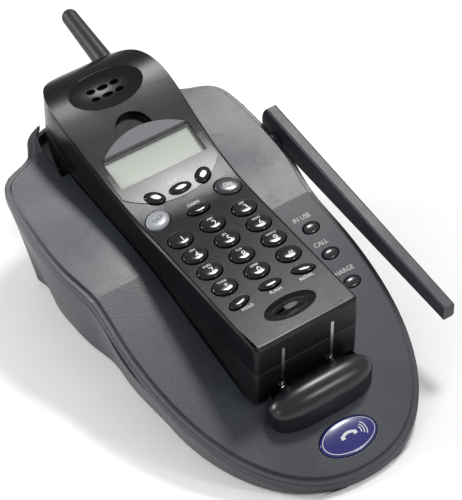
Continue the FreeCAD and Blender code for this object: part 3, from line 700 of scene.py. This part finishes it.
def drape(data, place, tree):
    # lays a mark on a surface, keeping its own small thickness
    up = (place.to_3x3() @ Vector((0, 0, 1))).normalized()
    for vertex in data.vertices:
        own = vertex.co.z
        spot = place @ Vector((vertex.co.x, vertex.co.y, 0))
        hit = tree.ray_cast(spot + up * printLook["reach"], -up)[0]
        vertex.co = (hit or spot) + up * (own + printLook["lift"] + printLook["thickness"])


def joinMeshes(name, parts):
    joined = bmesh.new()
    for data in parts:
        joined.from_mesh(data)
    bmesh.ops.recalc_face_normals(joined, faces=joined.faces)
    result = bpy.data.meshes.new(name)
    joined.to_mesh(result)
    joined.free()
    return result


# keys: stand is the height of the dome, depth is where the dome starts above the CAD key's foot
keyLook = {
    "stand": 0.0015, "skirt": 0.0030, "depth": 0.0036, "roundness": 3.2,
    "digitHeight": 0.0034, "letterHeight": 0.0013, "wordHeight": 0.00195,
    "digitPlace": (0.0006, -0.0010, 0), "letterPlace": (0, 0.0022, 0),
    "arrow": [(-0.0011, -0.0009), (0.0011, -0.0009), (0, 0.0011)],
}

digitSize, smallSize = (0.0061, 0.0046), (0.0058, 0.0027)

# node: half width and depth, turn, finish, main legend, letters
keys = {
    "key_1": (digitSize, 0, "keyGloss", "1", ""),
    "key_2": (digitSize, 0, "keyGloss", "2", "ABC"),
    "key_3": (digitSize, 0, "keyGloss", "3", "DEF"),
    "key_4": (digitSize, 0, "keyGloss", "4", "GHI"),
    "key_5": (digitSize, 0, "keyGloss", "5", "JKL"),
    "key_6": (digitSize, 0, "keyGloss", "6", "MNO"),
    "key_7": (digitSize, 0, "keyGloss", "7", "PQRS"),
    "key_8": (digitSize, 0, "keyGloss", "8", "TUV"),
    "key_9": (digitSize, 0, "keyGloss", "9", "WXYZ"),
    "key_star": (digitSize, 0, "keyGloss", "*", "TONE"),
    "key_0": (digitSize, 0, "keyGloss", "0", "OPER"),
    "key_hash": (digitSize, 0, "keyGloss", "#", ""),
    "key_talk": ((0.0064, 0.0050), 20, "keySilver", "", "TALK"),
    "key_off": ((0.0064, 0.0050), -20, "keyGrey", "", "OFF"),
    "key_channel": (smallSize, 0, "keyGloss", "", ""),
    "key_select": (smallSize, 0, "keyGloss", "", ""),
    "key_down": ((0.0049, 0.0033), -32, "keyGloss", "arrow", ""),
    "key_up": ((0.0049, 0.0033), 32, "keyGloss", "arrow", ""),
    "key_function_left": ((0.0056, 0.0025), 12, "keyGloss", "", ""),
    "key_function_middle": ((0.0056, 0.0025), 0, "keyGloss", "", ""),
    "key_function_right": ((0.0056, 0.0025), -12, "keyGloss", "", ""),
}


def pressAxis(nodeName):
    body = frame["nodes"][nodeName]["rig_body"]
    joint = [j for j in frame["joints"] if j["child"] == body][0]
    return Vector(joint["axis"])


def keyMarks(nodeName, main, letters, place, spun):
    marks = []
    if main == "arrow":
        side = 1 if nodeName == "key_up" else -1
        corners = [(x, y * side) for x, y in keyLook["arrow"]]
        marks.append((outlineMesh(corners[::side]), place))
    elif main:
        data = textMesh(main, keyLook["digitHeight"])
        marks.append((data, place @ Matrix.Translation(keyLook["digitPlace"])))
    if letters and main:
        data = textMesh(letters, keyLook["letterHeight"])
        marks.append((data, place @ Matrix.Translation(keyLook["letterPlace"])))
    elif letters:
        marks.append((textMesh(letters, keyLook["wordHeight"]), spun))
    return marks


def makeKeys():
    for nodeName, (size, turn, finish, main, letters) in keys.items():
        body = frame["nodes"][nodeName]["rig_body"]
        place = nodeFrame(nodeName, -pressAxis(nodeName), 0, keyLook["depth"])
        spun = place @ Matrix.Rotation(math.radians(turn), 4, "Z")
        cap = makeDome(*size, keyLook["stand"], keyLook["skirt"], keyLook["roundness"], finish, spun)
        piece = addPiece("cap_" + nodeName, cap, finish, body)
        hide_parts(nodeName)
        marks = keyMarks(nodeName, main, letters, place, spun)
        if not marks:
            continue
        tree = surfaceTree(piece)
        for data, spot in marks:
            drape(data, spot, tree)
        ink = "printDark" if nodeName == "key_talk" else "printWhite"
        name = "legend_" + nodeName
        legend = addPiece(name, joinMeshes(name, [data for data, spot in marks]), ink, body)


makeKeys()
print("keys made")


# labels on the handset's face and on the base
labelLook = {"height": 0.0017, "baseHeight": 0.0024, "basePlace": (-0.0010, 0.0066, 0.002), "slope": 0.350}

# words, node that it stands by, shift across and along
faceLabels = [
    ("SELECT", "key_select", 0.0, 0.0046),
    ("CHAN", "key_channel", 0.0, 0.0043),
    ("HOLD", "key_function_left", 0.0016, -0.0042),
    ("FLASH", "key_function_middle", 0.0, -0.0043),
    ("REDIAL", "key_function_right", -0.0014, -0.0044),
]
baseLabels = [
    ("IN USE", "indicator_lens_line"),
    ("CALL", "indicator_lens_call"),
    ("CHARGE", "indicator_lens_charge"),
]


def pieceNamed(name):
    return bpy.context.scene.objects[name]


def slopeFrame(nodeName):
    # the front slope of the base, where the badge and lenses sit
    return nodeFrame(nodeName, (0, -labelLook["slope"], 1.0))


def makeLabels():
    panel = surfaceTree(frame["nodes"]["display_panel"])
    shell = surfaceTree(pieceNamed("frontShell"))
    onShell = []
    for words, nodeName, across, along in faceLabels:
        data = textMesh(words, labelLook["height"])
        place = nodeFrame(nodeName, -pressAxis(nodeName), 0, keyLook["depth"])
        place = place @ Matrix.Translation((across, along, 0))
        drape(data, place, panel if nodeName == "key_select" else shell)
        onShell.append(data)
    piece = addPiece("handsetLabels", joinMeshes("handsetLabels", onShell), "printWhite", "handset")
    housing = surfaceTree(pieceNamed("upperHousing"))
    onBase = []
    for words, nodeName in baseLabels:
        data = textMesh(words, labelLook["baseHeight"])
        drape(data, slopeFrame(nodeName) @ Matrix.Translation(labelLook["basePlace"]), housing)
        onBase.append(data)
    piece = addPiece("baseLabels", joinMeshes("baseLabels", onBase), "printWhite", "base")


makeLabels()
print("labels made")


# badge with a plain telephone sign, and indicator lenses
badgeLook = {
    "halfWidth": 0.0150, "halfDepth": 0.0085, "height": 0.0013, "skirt": 0.0008, "roundness": 2.3,
    "lineInset": 0.0010, "lineWidth": 0.0003,
    "gripRadius": 0.0060, "gripWidth": 0.0013, "gripCentre": (0.0, -0.0046), "earAcross": 0.0034,
    "ear": [(-0.0011, -0.0008), (0.0011, -0.0008), (0.0008, 0.0010), (-0.0008, 0.0010)],
    "waveRadii": (0.0022, 0.0036, 0.0050), "waveWidth": 0.0005, "waveCentre": (0.0044, 0.0),
}
lensLook = {
    "halfWidth": 0.0043, "halfDepth": 0.0027, "height": 0.0009, "skirt": 0.0033, "roundness": 2.2,
    "depth": 0.0034,
}


def ovalPoints(halfWidth, halfDepth, count=64):
    turns = [math.tau * i / count for i in range(count)]
    return [(halfWidth * math.cos(t), halfDepth * math.sin(t)) for t in turns]


def arcBand(radius, width, start, end, centre, steps=20):
    angles = [math.radians(start + (end - start) * i / steps) for i in range(steps + 1)]
    sides = []
    for reach in (radius + width / 2, radius - width / 2):
        sides.append([(centre[0] + reach * math.cos(a), centre[1] + reach * math.sin(a)) for a in angles])
    return sides[0] + sides[1][::-1]


def badgeMarks():
    look = badgeLook
    ovals = []
    for inset in (look["lineInset"] + look["lineWidth"], look["lineInset"]):
        ovals.append(ovalPoints(look["halfWidth"] - inset, look["halfDepth"] - inset))
    ring = bandMesh(*ovals)
    grip = outlineMesh(arcBand(look["gripRadius"], look["gripWidth"], 55, 125, look["gripCentre"]))
    ears = []
    for across in (-look["earAcross"], look["earAcross"]):
        ears.append(outlineMesh([(across + x, y) for x, y in look["ear"]]))
    waves = []
    for radius in look["waveRadii"]:
        waves.append(outlineMesh(arcBand(radius, look["waveWidth"], -40, 40, look["waveCentre"])))
    return [ring, grip, *ears, *waves]


def makeBadge():
    look = badgeLook
    place = slopeFrame("front_badge") @ Matrix.Translation((0, 0, look["skirt"]))
    sizes = (look["halfWidth"], look["halfDepth"], look["height"], look["skirt"], look["roundness"])
    dome = makeDome(*sizes, "badgeBlue", place, 96, 16)
    badge = addPiece("frontBadge", dome, "badgeBlue", "base")
    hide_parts("front_badge")
    tree = surfaceTree(badge)
    marks = badgeMarks()
    for data in marks:
        drape(data, place, tree)
    sign = addPiece("badgeSign", joinMeshes("badgeSign", marks), "printWhite", "base")


def makeLenses():
    look = lensLook
    sizes = (look["halfWidth"], look["halfDepth"], look["height"], look["skirt"], look["roundness"])
    for name in ("line", "call", "charge"):
        nodeName = "indicator_lens_" + name
        place = slopeFrame(nodeName) @ Matrix.Translation((0, 0, look["depth"]))
        lens = addPiece("lens_" + name, makeDome(*sizes, "lensSmoke", place), "lensSmoke", "base")
        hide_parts(nodeName)


makeBadge()
makeLenses()
print("badge and lenses made")


# rubber feet, one pad set out on four places
footLook = {"radius": 0.0059, "height": 0.0011, "skirt": 0.0005, "roundness": 4.5, "turn": 0.6, "seed": 7}


def makeFeet():
    look = footLook
    nodeName = "rubber_feet"
    low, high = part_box(nodeName)
    inset = look["radius"]
    columns = (low.x + inset, high.x - inset)
    rows = (low.y + inset, high.y - inset)
    host = bpy.data.meshes.new("footPlaces")
    host.from_pydata([(x, y, look["height"]) for x in columns for y in rows], [], [])
    sizes = (look["radius"], look["radius"], look["height"], look["skirt"], look["roundness"])
    pad = makeDome(*sizes, "footRubber", Matrix.Rotation(math.pi, 4, "X"), 36, 10)
    sample = bpy.data.objects.new("footSample", pad)
    bpy.context.scene.collection.objects.link(sample)
    wanted = {"Piece": sample, "Size": 1.0, "Turn": look["turn"], "Seed": look["seed"]}
    wanted["Finish"] = finishes["footRubber"]
    data = growMesh(setOutTree, wanted, host)
    bpy.data.objects.remove(sample)
    finishShading(data, 50)
    feet = addPiece("rubberFeet", data, "footRubber", "base")
    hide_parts(nodeName)


makeFeet()
print("feet made")
coverCadNodes()

# a plain floor, not part of the object
floorLook = {"size": 3.0}


def makeFloor():
    mesh = bpy.data.meshes.new("studioFloor")
    half = floorLook["size"] / 2
    corners = [(-half, -half, 0), (half, -half, 0), (half, half, 0), (-half, half, 0)]
    mesh.from_pydata(corners, [], [(0, 1, 2, 3)])
    mesh.materials.append(finishes["floorPaint"])
    floor = bpy.data.objects.new("studioFloor", mesh)
    bpy.context.scene.collection.objects.link(floor)


makeFloor()
